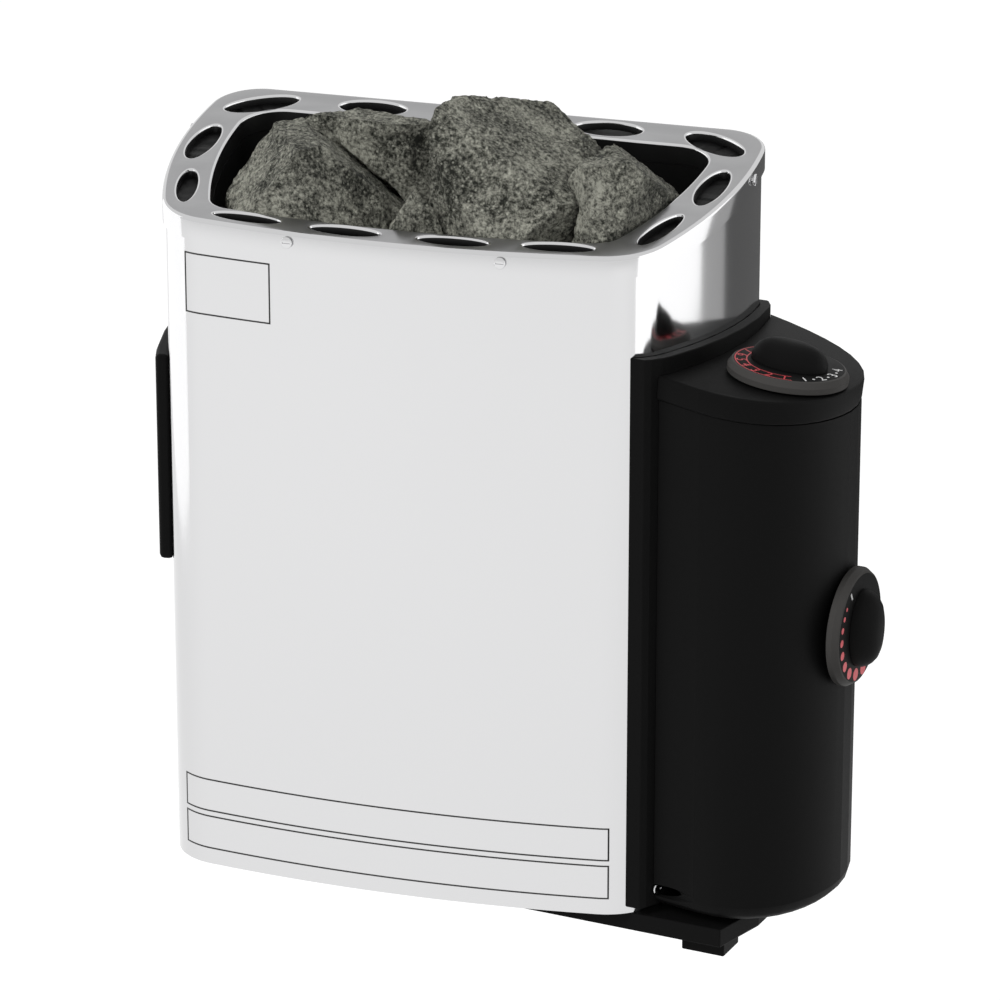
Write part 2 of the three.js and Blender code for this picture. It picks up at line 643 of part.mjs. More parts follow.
// Blank cover over the unused window in the left side.
const coverInverse = coverFrame.clone().invert();
const cover = prism(bodyPlan(COVER_THICKNESS), -300, 300, coverInverse)
  .subtract(prism(bodyPlan(GAP), -310, 310, coverInverse))
  .intersect(block(-60, 60, 28, 134, COVER_LOW, COVER_HIGH));
const leftSide = groupAt(heater, "left_side", coverFrame);
addPiece(leftSide, "blank_cover", cover, BLACK_PLASTIC);

// Sensor bulb in a small cup inside the left wall of the stone container.
const sensorY = BODY_FRONT + SENSOR_DEPTH;
const sensorX = SENSOR_INSET - halfWidthAt(openingPlan(0), sensorY);
const sensorTop = CASING_BOTTOM + 366;
const cupPlace = frameAt(sensorX, sensorY, sensorTop);
const cup = roundedPrism(ellipse(0, 0, 22, 22, 0), -34, 0, 1, cupPlace)
  .subtract(rod(9.5, -32, 4, 18, cupPlace))
  .subtract(rod(2.5, -40, 0, 12, cupPlace));
addPiece(heater, "sensor_cup", cup, DARK_STEEL);
const bulb = rod(4, -28, -4, 16, cupPlace);
addPiece(heater, "sensor_bulb", bulb, COPPER);

// A path through points of the part's frame.
function smoothPath(points) {
  const places = points.map((point) => new THREE.Vector3(...point));
  return new THREE.CatmullRomCurve3(places, false, "centripetal");
}

function inBox(out, along, height) {
  return new THREE.Vector3(out, along, height).applyMatrix4(boxFrame).toArray();
}

// Capillary from the bulb, out through the container's wall, under the grate and into the control box.
const runHeight = CASING_BOTTOM + LINER_BOTTOM - 18;
const outside = -halfWidthAt(openingPlan(SHEET), sensorY) - 4;
const capillaryRoute = [
  [sensorX, sensorY, sensorTop - 28 - GAP],
  [sensorX, sensorY, sensorTop - 42],
  [outside + 4, sensorY, sensorTop - 52],
  [outside, sensorY, sensorTop - 70],
  [outside, sensorY, runHeight + 40],
  [outside + 6, sensorY + 6, runHeight + 8],
  [outside + 30, elementMiddle, runHeight],
  [100, elementMiddle, runHeight],
  inBox(-4, 66, 84),
  inBox(24, 60, 96),
  inBox(42, THERMOSTAT_ALONG, 152),
  inBox(BOX_DEPTH - 40, THERMOSTAT_ALONG, THERMOSTAT_HEIGHT),
  inBox(BOX_DEPTH - 34 - 2 * GAP, THERMOSTAT_ALONG, THERMOSTAT_HEIGHT),
];
const capillaryPath = smoothPath(capillaryRoute);
const capillaryRoom = bentRod(capillaryPath, 2.4, 90, 4);
liner = liner.subtract(capillaryRoom);
addPiece(heater, "capillary_tube", bentRod(capillaryPath, 1.2, 90, 3), COPPER);
addPiece(heater, "stone_container", liner, DARK_STEEL);

// Wiring from the terminal block to the timer.
const loomRoute = [
  [26, -110, blockLow + 20 + 2 * GAP],
  [26.5, -110, blockLow + 26],
  [50, -110, blockLow + 33],
  [100, -110, CASING_BOTTOM + 38],
  [124, -112, CASING_BOTTOM + 44],
  inBox(6, 84, 78),
  inBox(30, 92, 110),
  inBox(34, 96, 190),
  inBox(50, 80, 222),
];
addPiece(heater, "wire_loom", bentRod(smoothPath(loomRoute), 3.5, 40, 4), GREY_PLASTIC);

// Repeatable numbers from zero to one.
function numbersFrom(seed) {
  let state = seed;
  return () => {
    state = (state * 16807) % 2147483647;
    return state / 2147483647;
  };
}

// An angular broken stone: a block with flat cuts spread all round it.
function stoneBody(seed, size, matrix) {
  const next = numbersFrom(seed * 7919);
  const frame = matrix.clone().scale(new THREE.Vector3(...size));
  let body = block(-1, 1, -1, 1, -1, 1, frame);
  for (let cut = 0; cut < STONE_CUTS; cut += 1) {
    const height = 1 - (2 * cut + 2 * next()) / STONE_CUTS;
    const angle = 2.4 * cut + 0.9 * next();
    const flat = Math.sqrt(Math.max(0, 1 - height * height));
    const normal = new THREE.Vector3(flat * Math.cos(angle), flat * Math.sin(angle), height).normalize();
    const turn = new THREE.Quaternion().setFromUnitVectors(new THREE.Vector3(0, 0, 1), normal);
    const reach = normal.clone().multiplyScalar(0.62 + 0.36 * next());
    const face = new THREE.Matrix4().compose(reach, turn, new THREE.Vector3(1, 1, 1));
    body = body.subtract(block(-4, 4, -4, 4, 0, 4, frame.clone().multiply(face)));
  }
  return body;
}

// Stones: place from the collar's front edge and the casing's bottom, half sizes, turn and seed.
const lowStones = [
  ["stone_low_1", [-39, 85, 155], [31, 46, 54], 10, 11],
  ["stone_low_2", [39, 85, 158], [31, 46, 56], -14, 12],
  ["stone_low_3", [-101, 85, 190], [15, 34, 76], 0, 13],
  ["stone_low_4", [101, 85, 185], [15, 34, 74], 0, 14],
  ["stone_mid_1", [-39, 88, 268], [31, 48, 50], 20, 15],
  ["stone_mid_2", [39, 82, 270], [31, 46, 48], -8, 16],
];
const topStones = [
  ["stone_peak", [46, 84, 370], [60, 58, 66], -30, 218],
  ["stone_left", [-56, 60, 352], [52, 46, 60], 30, 193],
  ["stone_slab", [-30, 122, 356], [74, 30, 54], 10, 117],
  ["stone_right", [96, 84, 358], [38, 60, 56], 10, 109],
  ["stone_small", [2, 38, 356], [20, 26, 42], 30, 41],
];

// Adds stones one by one, each cut clear of those before it and kept inside a space.
const laidStones = [];
function layStones(list, space) {
  for (const [name, [x, y, z], size, turn, seed] of list) {
    const place = frameAt(x, BODY_FRONT + y, CASING_BOTTOM + z, 0, 0, turn);
    let body = stoneBody(seed, size, place).intersect(space);
    for (const laid of laidStones) {
      body = body.subtract(laid);
    }
    laidStones.push(stoneBody(seed, size.map((half) => half + STONE_GAP), place));
    addPiece(heater, name, body, STONE);
  }
}

const stoneSpace = prism(openingPlan(-1), linerBottom + 3 + GAP, 400)
  .subtract(rod(11.5, -50, 20, 18, cupPlace))
  .subtract(capillaryRoom);
const overElements = block(-300, 300, -400, 0, CASING_BOTTOM + ELEMENT_TOP + ELEMENT_DIAMETER, 400);
layStones(lowStones, stoneSpace);
layStones(topStones, stoneSpace.intersect(overElements));

export default heater;
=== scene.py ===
"""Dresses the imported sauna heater: polished casing, vented collar, stones, control box and dials."""

import json
import math

import bmesh
import bpy
from bpy.props import FloatProperty, FloatVectorProperty, IntProperty, PointerProperty
from bpy.types import Operator, Panel, PropertyGroup
from mathutils import Euler, Matrix, Vector, noise


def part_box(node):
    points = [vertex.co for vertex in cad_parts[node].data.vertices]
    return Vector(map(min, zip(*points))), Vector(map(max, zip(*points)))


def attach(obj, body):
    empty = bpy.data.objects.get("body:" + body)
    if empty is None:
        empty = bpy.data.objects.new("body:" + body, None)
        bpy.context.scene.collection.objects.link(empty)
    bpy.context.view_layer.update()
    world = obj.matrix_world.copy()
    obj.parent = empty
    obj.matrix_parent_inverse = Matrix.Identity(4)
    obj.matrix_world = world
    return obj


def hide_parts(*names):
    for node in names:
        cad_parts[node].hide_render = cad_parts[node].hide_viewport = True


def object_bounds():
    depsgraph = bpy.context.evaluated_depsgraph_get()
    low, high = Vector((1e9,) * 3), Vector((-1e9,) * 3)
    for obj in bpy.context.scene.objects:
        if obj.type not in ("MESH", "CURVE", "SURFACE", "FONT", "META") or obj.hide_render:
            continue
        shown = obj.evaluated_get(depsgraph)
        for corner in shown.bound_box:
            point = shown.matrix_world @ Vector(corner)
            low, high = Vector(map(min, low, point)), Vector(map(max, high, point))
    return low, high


bl_info = {
    "name": "Sauna Heater",
    "version": (1, 0, 0),
    "blender": (4, 5, 0),
    "location": "View3D > Sidebar > Heater",
    "description": "Builds the looks of a wall-hung sauna heater around its packed frame",
    "category": "Object",
}

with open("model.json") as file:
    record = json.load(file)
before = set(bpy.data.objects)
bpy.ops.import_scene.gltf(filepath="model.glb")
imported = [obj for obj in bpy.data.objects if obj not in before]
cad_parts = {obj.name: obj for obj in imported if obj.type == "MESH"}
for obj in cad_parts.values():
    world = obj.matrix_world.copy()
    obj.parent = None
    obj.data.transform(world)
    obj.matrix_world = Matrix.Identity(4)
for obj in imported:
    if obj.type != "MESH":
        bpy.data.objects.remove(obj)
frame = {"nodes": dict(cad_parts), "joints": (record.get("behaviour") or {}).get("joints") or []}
CAD_LOW, CAD_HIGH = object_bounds()
NODES = frame["nodes"]
JOINTS = {joint["name"]: joint for joint in frame["joints"]}

MM = 0.001
BODY_FRONT = -0.200
BODY_WIDTH = 0.316
BODY_DEPTH = 0.181
BODY_CORNER = 0.034
BODY_BACK_CORNER = 0.025
FRONT_BOW = 0.780
SIDE_BOW = 0.300
SIDE_HEADING = math.radians(69.3)
CASING_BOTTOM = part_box("outer_casing")[0].z
CASING_HEIGHT = 0.374
BACK_RETURN_END = 0.115
COLLAR_TOP_FRONT = CASING_BOTTOM + CASING_HEIGHT
COLLAR_SKIRT = 0.012
COLLAR_LIP = 0.011
COLLAR_SLIP = 0.3 * MM
TOP_SLOPE = math.tan(math.radians(7.2))
RING_FRONT = 0.017
RING_SIDE = 0.0245
RING_BACK = 0.026
OPENING_CORNER = 0.016
OPENING_BACK_CORNER = 0.022
OPENING_FRONT = BODY_FRONT + RING_FRONT
SMOOTH_ANGLE = math.radians(32)
SILVER = (0.595, 0.595, 0.60, 1.0)
SATIN = (0.34, 0.34, 0.345, 1.0)
# Near-black of the heat-darkened inner sheets; on the collar's vent flanges and opening lip it is painted
# shade.
SOOT_AND_SHADE = (0.012, 0.012, 0.012, 1.0)
BLACK = (0.0045, 0.0045, 0.0045, 1.0)
DIAL_GREY = (0.055, 0.053, 0.051, 1.0)
PRINT_RED = (0.55, 0.05, 0.06, 1.0)
PRINT_PALE_RED = (0.80, 0.15, 0.17, 1.0)
PRINT_WHITE = (0.75, 0.75, 0.75, 1.0)
COPPER = (0.62, 0.30, 0.16, 1.0)
CERAMIC = (0.72, 0.69, 0.61, 1.0)
BUTTON_RED = (0.42, 0.02, 0.02, 1.0)


def property_color(name, description, default):
    """A colour setting with an alpha channel."""
    return FloatVectorProperty(
        name=name, description=description, default=default, subtype="COLOR", size=4, min=0, max=1
    )


class HeaterMetal(PropertyGroup):
    """Sizes and colours of the casing and collar."""

    sheet: FloatProperty(
        name="Sheet", description="Thickness of the steel sheet", default=1.5 * MM, unit="LENGTH"
    )
    collar_round: FloatProperty(
        name="Collar Round", description="Radius of the collar's edge", default=2.0 * MM, unit="LENGTH"
    )
    arc_steps: IntProperty(name="Arc Steps", description="Divisions of each curved wall", default=28)
    polish: property_color("Polish", "Colour of the polished casing", SILVER)
    satin: property_color("Satin", "Colour of the collar", SATIN)
    # This colour also paints shade on the collar's vent flanges and opening lip.
    soot: property_color("Soot", "Colour of the heat-darkened inside", SOOT_AND_SHADE)


class HeaterStones(PropertyGroup):
    """Grain and colour of the stones."""

    voxel: FloatProperty(
        name="Grain Mesh", description="Mesh size of a stone", default=1.5 * MM, unit="LENGTH"
    )
    roughening: FloatProperty(
        name="Roughening", description="Depth of the broken surface", default=3.6 * MM, unit="LENGTH"
    )
    dark: property_color("Dark Grain", "Darker mineral", (0.008, 0.009, 0.006, 1.0))
    pale: property_color("Pale Grain", "Paler mineral", (0.40, 0.40, 0.34, 1.0))


class HeaterControls(PropertyGroup):
    """Colours of the plastic pieces."""

    housing: property_color("Housing", "Black of the control box", BLACK)
    dial: property_color("Dial", "Grey of the dials", DIAL_GREY)
    red: property_color("Red Print", "Red figures", PRINT_RED)
    pale_red: property_color("Pale Red Print", "Red dots", PRINT_PALE_RED)
    white: property_color("White Print", "White figures", PRINT_WHITE)


# Materials


def new_material(name, color, roughness, metallic=0.0, specular=0.5):
    """A Principled material and its shader node."""
    material = bpy.data.materials.new(name)
    material.use_nodes = True
    shader = material.node_tree.nodes["Principled BSDF"]
    shader.inputs["Base Color"].default_value = color
    shader.inputs["Roughness"].default_value = roughness
    shader.inputs["Metallic"].default_value = metallic
    shader.inputs["Specular IOR Level"].default_value = specular
    return material, shader


def add_node(material, kind, **inputs):
    """A node whose named inputs are set."""
    node = material.node_tree.nodes.new(kind)
    for key, value in inputs.items():
        node.inputs[key.replace("_", " ")].default_value = value
    return node


def link(material, source, target):
    material.node_tree.links.new(source, target)


def object_coordinates(material):
    return material.node_tree.nodes.new("ShaderNodeTexCoord").outputs["Object"]


def add_bump(material, shader, height, strength, distance):
    """Feeds a height into the shader's normal."""
    bump = add_node(material, "ShaderNodeBump", Strength=strength, Distance=distance)
    link(material, height, bump.inputs["Height"])
    link(material, bump.outputs["Normal"], shader.inputs["Normal"])


def polished_steel(color):
    """Polished sheet with a faint unevenness in its gloss."""
    material, shader = new_material("polished_steel", color, 0.10, 1.0)
    place = object_coordinates(material)
    cloud = add_node(material, "ShaderNodeTexNoise", Scale=14.0, Detail=4.0)
    link(material, place, cloud.inputs["Vector"])
    gloss = add_node(material, "ShaderNodeMapRange", To_Min=0.07, To_Max=0.15)
    link(material, cloud.outputs["Fac"], gloss.inputs["Value"])
    link(material, gloss.outputs["Result"], shader.inputs["Roughness"])
    return material


def satin_steel(color, name="satin_steel", roughness=0.34):
    """Satin sheet with fine grinding lines along X."""
    material, shader = new_material(name, color, roughness, 1.0)
    place = object_coordinates(material)
    stretch = add_node(material, "ShaderNodeMapping", Scale=(3.0, 420.0, 420.0))
    link(material, place, stretch.inputs["Vector"])
    lines = add_node(material, "ShaderNodeTexNoise", Scale=4.0, Detail=3.0)
    link(material, stretch.outputs["Vector"], lines.inputs["Vector"])
    gloss = add_node(material, "ShaderNodeMapRange", To_Min=roughness - 0.06, To_Max=roughness + 0.08)
    link(material, lines.outputs["Fac"], gloss.inputs["Value"])
    link(material, gloss.outputs["Result"], shader.inputs["Roughness"])
    add_bump(material, shader, lines.outputs["Fac"], 0.04, 0.0002)
    return material


def dark_steel(color):
    """Heat-darkened sheet with cloudy scale; on the collar's vent flanges and opening lip it is painted
    shade.
    """
    material, shader = new_material("dark_steel", color, 0.45, 0.7)
    place = object_coordinates(material)
    cloud = add_node(material, "ShaderNodeTexNoise", Scale=60.0, Detail=6.0)
    link(material, place, cloud.inputs["Vector"])
    gloss = add_node(material, "ShaderNodeMapRange", To_Min=0.28, To_Max=0.6)
    link(material, cloud.outputs["Fac"], gloss.inputs["Value"])
    link(material, gloss.outputs["Result"], shader.inputs["Roughness"])
    return material


def grained_plastic(name, color, roughness):
    """Moulded plastic with a fine spark-eroded grain."""
    material, shader = new_material(name, color, roughness, specular=0.05)
    place = object_coordinates(material)
    grain = add_node(material, "ShaderNodeTexNoise", Scale=1400.0, Detail=2.0)
    link(material, place, grain.inputs["Vector"])
    gloss = add_node(material, "ShaderNodeMapRange", To_Min=roughness - 0.05, To_Max=roughness + 0.08)
    link(material, grain.outputs["Fac"], gloss.inputs["Value"])
    link(material, gloss.outputs["Result"], shader.inputs["Roughness"])
    add_bump(material, shader, grain.outputs["Fac"], 0.12, 0.0002)
    return material


def broken_stone(dark, pale):
    """Speckled grey-olive rock: patches, mineral grains and pale flecks."""
    material, shader = new_material("broken_stone", pale, 0.9)
    place = object_coordinates(material)
    patches = add_node(material, "ShaderNodeTexNoise", Scale=38.0, Detail=8.0, Roughness=0.7)
    grains = add_node(material, "ShaderNodeTexNoise", Scale=420.0, Detail=5.0, Roughness=0.75)
    flecks = add_node(material, "ShaderNodeTexVoronoi", Scale=300.0, Randomness=1.0)
    for texture in (patches, grains, flecks):
        link(material, place, texture.inputs["Vector"])
    ramp = add_node(material, "ShaderNodeValToRGB")
    elements = ramp.color_ramp.elements
    elements[0].position, elements[0].color = 0.43, dark
    elements[1].position, elements[1].color = 0.60, pale
    mid = elements.new(0.50)
    mid.color = tuple(0.70 * a + 0.30 * b for a, b in zip(dark, pale))
    blend = add_node(material, "ShaderNodeMath")
    blend.operation = "MULTIPLY_ADD"
    blend.inputs[1].default_value = 0.62
    lift = add_node(material, "ShaderNodeMath")
    lift.operation = "MULTIPLY"
    lift.inputs[1].default_value = 0.40
    link(material, patches.outputs["Fac"], lift.inputs[0])
    link(material, grains.outputs["Fac"], blend.inputs[0])
    link(material, lift.outputs["Value"], blend.inputs[2])
    link(material, blend.outputs["Value"], ramp.inputs["Fac"])
    spot = add_node(material, "ShaderNodeMapRange", From_Min=0.0, From_Max=0.26, To_Min=0.75, To_Max=0.0)
    link(material, flecks.outputs["Distance"], spot.inputs["Value"])
    tint = add_node(material, "ShaderNodeMix")
    tint.data_type = "RGBA"
    tint.inputs["B"].default_value = tuple(min(1.0, 1.5 * value) for value in pale)
    link(material, spot.outputs["Result"], tint.inputs["Factor"])
    link(material, ramp.outputs["Color"], tint.inputs["A"])
    link(material, tint.outputs["Result"], shader.inputs["Base Color"])
    add_bump(material, shader, grains.outputs["Fac"], 0.9, 0.0022)
    return material


MATERIALS = {}


def make_materials(scene):
    """Makes every finish from the scene's settings."""
    metal, stones, controls = scene.heater_metal, scene.heater_stones, scene.heater_controls
    MATERIALS.update(
        polished_steel=polished_steel(metal.polish),
        satin_steel=satin_steel(metal.satin),
        inner_sheet=satin_steel(metal.polish, "inner_sheet", 0.42),
        dark_steel=dark_steel(metal.soot),
        stone=broken_stone(stones.dark, stones.pale),
        black_plastic=grained_plastic("black_plastic", controls.housing, 0.5),
        grey_plastic=grained_plastic("grey_plastic", controls.dial, 0.45),
        red_print=new_material("red_print", controls.red, 0.5)[0],
        pale_red_print=new_material("pale_red_print", controls.pale_red, 0.5)[0],
        white_print=new_material("white_print", controls.white, 0.5)[0],
        black_print=new_material("black_print", controls.housing, 0.5)[0],
        copper=new_material("copper", COPPER, 0.3, 1.0)[0],
        ceramic=new_material("ceramic", CERAMIC, 0.4)[0],
        red_plastic=grained_plastic("red_plastic", BUTTON_RED, 0.4),
    )


# Mesh helpers


def finish_piece(bm, name, material, body, slot, *nodes):
    """Turns a bmesh into a named piece that rides a body and stands for CAD nodes."""
    bmesh.ops.remove_doubles(bm, verts=bm.verts, dist=1e-6)
    bmesh.ops.recalc_face_normals(bm, faces=bm.faces)
    mesh = bpy.data.meshes.new(name)
    bm.to_mesh(mesh)
    bm.free()
    piece = bpy.data.objects.new(name, mesh)
    bpy.context.scene.collection.objects.link(piece)
    mesh.materials.append(MATERIALS[material])
    mesh.shade_smooth()
    mesh.set_sharp_from_angle(angle=SMOOTH_ANGLE)
    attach(piece, body)
    if nodes:
        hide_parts(*nodes)
    return piece


def copy_node(node):
    """A merged copy of a CAD node's mesh."""
    bm = bmesh.new()
    bm.from_mesh(NODES[node].data)
    bmesh.ops.remove_doubles(bm, verts=bm.verts, dist=2e-5)
    bmesh.ops.dissolve_limit(bm, angle_limit=math.radians(1), verts=bm.verts, edges=bm.edges)
    return bm


def round_edges(piece, width):
    """A live bevel on the piece's sharp edges."""
    bevel = piece.modifiers.new("rounded_edges", "BEVEL")
    bevel.width = width
    bevel.segments = 2
    bevel.limit_method = "ANGLE"
    bevel.angle_limit = math.radians(40)
    bevel.harden_normals = True


def dress_node(node, material, slot, body="heater", width=0.0):
    """A smooth-shaded copy of a CAD node with softened edges."""
    piece = finish_piece(copy_node(node), node + "_look", material, body, slot, node)
    if width:
        round_edges(piece, width)


def plan_arcs(width, depth, corner, back):
    """Radius, first heading and last heading of each arc of the body's plan."""
    lean = (width / 2 - SIDE_BOW + (SIDE_BOW - corner) * math.sin(SIDE_HEADING)) / (FRONT_BOW - corner)
    front_end = math.asin(lean)
    front_depth = FRONT_BOW * (1 - math.cos(front_end))
    corner_depth = corner * (math.cos(front_end) - math.cos(SIDE_HEADING))
    side_depth = depth - front_depth - corner_depth
    side_end = math.acos((side_depth - SIDE_BOW * math.cos(SIDE_HEADING) - back) / (back - SIDE_BOW))
    return (
        (FRONT_BOW, 0.0, front_end),
        (corner, front_end, SIDE_HEADING),
        (SIDE_BOW, SIDE_HEADING, side_end),
        (back, side_end, math.pi),
    )


BODY_ARCS = plan_arcs(BODY_WIDTH, BODY_DEPTH, BODY_CORNER, BODY_BACK_CORNER)
OPENING_ARCS = plan_arcs(
    BODY_WIDTH - 2 * RING_SIDE, BODY_DEPTH - RING_FRONT - RING_BACK, OPENING_CORNER, OPENING_BACK_CORNER
)


def spin_plan(bm, geom, arcs, front, grow, steps):
    """Spins points or edges at the middle of the front round the right half of a plan."""
    last = geom
    place = Vector((0.0, front - grow, 0.0))
    for radius, start, end in arcs:
        reach = radius + grow
        centre = place + reach * Vector((-math.sin(start), math.cos(start), 0.0))
        spun = bmesh.ops.spin(
            bm, geom=last, cent=centre, axis=(0, 0, 1), angle=end - start, steps=steps, use_duplicate=False
        )
        last = spun["geom_last"]
        place = centre + reach * Vector((math.sin(end), -math.cos(end), 0.0))
    return last


def mirror_half(bm):
    """Mirrors a right half across X and joins it in the middle."""
    bmesh.ops.mirror(bm, geom=bm.verts[:] + bm.edges[:] + bm.faces[:], axis="X", merge_dist=1e-5)
    bmesh.ops.remove_doubles(bm, verts=bm.verts, dist=1e-5)


def plan_loop(bm, arcs, front, grow, height, steps):
    """A closed loop of edges round a plan at a height; returns its edges."""
    half = bmesh.new()
    seed = half.verts.new((0.0, front - grow, height))
    last = spin_plan(half, [seed], arcs, front, grow, steps)
    tail = [vert for vert in last if isinstance(vert, bmesh.types.BMVert)][0]
    ending = half.verts.new((0.0, tail.co.y, height))
    half.edges.new((tail, ending))
    mirror_half(half)
    return add_loop(bm, half)


def add_loop(bm, other):
    """Copies a wire bmesh into another and returns the new edges."""
    mesh = bpy.data.meshes.new("loop")
    other.to_mesh(mesh)
    other.free()
    before = set(bm.edges)
    bm.from_mesh(mesh)
    bpy.data.meshes.remove(mesh)
    return [edge for edge in bm.edges if edge not in before]


def ellipse_loop(bm, centre, size, turn, grow, height):
    """A closed elliptical loop of edges."""
    ring = bmesh.new()
    bmesh.ops.create_circle(ring, segments=40, radius=1.0)
    scale = Matrix.Diagonal((size[0] / 2 + grow, size[1] / 2 + grow, 1.0, 1.0))
    place = Matrix.Translation((centre[0], centre[1], height)) @ Matrix.Rotation(math.radians(turn), 4, "Z")
    bmesh.ops.transform(ring, matrix=place @ scale, verts=ring.verts)
    return add_loop(bm, ring)


def bridge_stack(bm, loops, deep_level, deep_index):
    """Walls between each loop and the next: polished near the top, a painted highlight on the collar's
    rims, another material deeper down.
    """
    for upper, lower in zip(loops, loops[1:]):
        for face in bmesh.ops.bridge_loops(bm, edges=upper + lower)["faces"]:
            # Where deep_index is the dark steel, the deep walls are painted shade inside the collar's
            # holes.
            deep = max(vert.co.z for vert in face.verts) < deep_level
            face.material_index = deep_index if deep else 1


def slope_top(bm):
    """Tilts a level plan onto the sloping top."""
    for vert in bm.verts:
        vert.co.z += COLLAR_TOP_FRONT + (vert.co.y - BODY_FRONT) * TOP_SLOPE


# Pieces


class HEATER_OT_casing(Operator):
    """Wraps the polished casing round the front and sides"""

    bl_idname = "heater.casing"
    bl_label = "Casing"

    def execute(self, context):
        metal = context.scene.heater_metal
        bm = bmesh.new()
        inside = BODY_FRONT + metal.sheet
        top = COLLAR_TOP_FRONT - 2 * metal.sheet
        corners = (
            (BODY_FRONT, CASING_BOTTOM),
            (BODY_FRONT, top),
            (inside, top),
            (inside, CASING_BOTTOM),
        )
        verts = [bm.verts.new((0.0, y, z)) for y, z in corners]
        edges = [bm.edges.new(pair) for pair in zip(verts, verts[1:] + verts[:1])]
        last = spin_plan(bm, verts + edges, BODY_ARCS, BODY_FRONT, 0.0, metal.arc_steps)
        edges = [item for item in last if isinstance(item, bmesh.types.BMEdge)]
        turned = bmesh.ops.extrude_edge_only(bm, edges=edges)["geom"]
        verts = [item for item in turned if isinstance(item, bmesh.types.BMVert)]
        bmesh.ops.translate(bm, verts=verts, vec=(BACK_RETURN_END - verts[0].co.x, 0.0, 0.0))
        edges = [item for item in turned if isinstance(item, bmesh.types.BMEdge)]
        bmesh.ops.edgeloop_fill(bm, edges=edges)
        for vert in bm.verts:
            if vert.co.z > 0:
                vert.co.z += (vert.co.y - BODY_FRONT) * TOP_SLOPE
        mirror_half(bm)
        finish_piece(bm, "casing", "polished_steel", "heater", "polished_steel", "outer_casing")
        return {"FINISHED"}


# Each vent: distance from the middle, distance from the front, length, width in mm, and turn in degrees.
COLLAR_HOLES = (
    (0, 168.5, 38, 18, 0),
    (68, 168.5, 38, 18, 0),
    (130.5, 160.5, 42, 19, -33),
    (144.5, 104.5, 46, 14, 88),
    (132.5, 47, 42, 10.5, 75),
    (86.5, 14.3, 39, 9.5, 5),
    (30, 9.6, 39, 10, 1.5),
)
# A vent's flange: how far each ring stands outside the hole, and its level, in mm.
HOLE_FLANGE = ((1.3, 0), (0.45, -0.25), (0.0, -1.0), (0.0, -4.5), (0.8, -4.5))
# Flange and lip walls lower than this are painted near-black: painted shade inside the holes.
FLANGE_SHADE = -0.9 * MM
ROUND_STEPS = 5
LIP_ROUND = 0.7


class HEATER_OT_collar(Operator):
    """Makes the vented collar with its rolled edges and flanged holes"""

    bl_idname = "heater.collar"
    bl_label = "Collar"

    def execute(self, context):
        metal = context.scene.heater_metal
        rounding = metal.collar_round
        outer = metal.sheet + COLLAR_SLIP
        steps = metal.arc_steps
        bm = bmesh.new()
        outer_loops = []
        inner_loops = []
        for step in range(ROUND_STEPS + 1):
            angle = math.pi / 2 * step / ROUND_STEPS
            inset = rounding * (1 - math.sin(angle))
            drop = -rounding * (1 - math.cos(angle))
            outer_loops.append(plan_loop(bm, BODY_ARCS, BODY_FRONT, outer - inset, drop, steps))
            inset *= LIP_ROUND
            drop *= LIP_ROUND
            inner_loops.append(plan_loop(bm, OPENING_ARCS, OPENING_FRONT, inset, drop, steps))
        outer_loops.append(plan_loop(bm, BODY_ARCS, BODY_FRONT, outer, -COLLAR_SKIRT, steps))
        outer_loops.append(plan_loop(bm, BODY_ARCS, BODY_FRONT, outer - metal.sheet, -COLLAR_SKIRT, steps))
        inner_loops.append(plan_loop(bm, OPENING_ARCS, OPENING_FRONT, 0.0, -COLLAR_LIP, steps))
        inner_loops.append(plan_loop(bm, OPENING_ARCS, OPENING_FRONT, metal.sheet, -COLLAR_LIP, steps))
        flat = outer_loops[0] + inner_loops[0]
        stacks = [inner_loops]
        for x, y, length, width, turn in COLLAR_HOLES:
            for side in (1, -1) if x else (1,):
                centre = (side * x * MM, BODY_FRONT + y * MM)
                size = (length * MM, width * MM)
                loops = []
                for grow, height in HOLE_FLANGE:
                    loops.append(ellipse_loop(bm, centre, size, side * turn, grow * MM, height * MM))
                flat += loops[0]
                stacks.append(loops)
        bmesh.ops.triangle_fill(bm, use_beauty=True, use_dissolve=False, edges=flat)
        # The rolled outer edge and skirt take the brighter polished steel: painted highlight on the satin
        # collar.
        bridge_stack(bm, outer_loops, 0.0, 1)
        for loops in stacks:
            bridge_stack(bm, loops, FLANGE_SHADE, 2)
        slope_top(bm)
        collar = finish_piece(bm, "collar", "satin_steel", "heater", "satin_steel", "top_collar")
        # Slot 1, the brighter polished steel, is a painted highlight on the rolled rims, the vent rims and
        # the opening's edge.
        collar.data.materials.append(MATERIALS["polished_steel"])
        # Slot 2, the near-black dark steel, is painted shade on the flange and lip walls below
        # FLANGE_SHADE.
        collar.data.materials.append(MATERIALS["dark_steel"])
        return {"FINISHED"}


LINE_WIDTH = 0.9 * MM
LINE_STEPS = 120
PRINT_LIFT = 0.05 * MM
# Each frame: name, left side, right side, bottom and top.
LABEL_FRAMES = (
    ("plate_frame", -0.121, -0.070, CASING_BOTTOM + 0.321, CASING_BOTTOM + 0.355),
    ("label_frame_upper", -0.128, 0.118, CASING_BOTTOM + 0.0315, CASING_BOTTOM + 0.051),
    ("label_frame_lower", -0.128, 0.118, CASING_BOTTOM + 0.009, CASING_BOTTOM + 0.029),
)


def front_surface(x):
    """Where the bowed front and its corners lie at a distance from the middle."""
    bow, _, end = BODY_ARCS[0]
    corner = BODY_ARCS[1][0]
    reach = abs(x)
    if reach < bow * math.sin(end):
        return BODY_FRONT + bow - math.sqrt(bow * bow - x * x)
    centre_x = (bow - corner) * math.sin(end)
    centre_y = BODY_FRONT + bow - (bow - corner) * math.cos(end)
    return centre_y - math.sqrt(corner * corner - (reach - centre_x) ** 2)


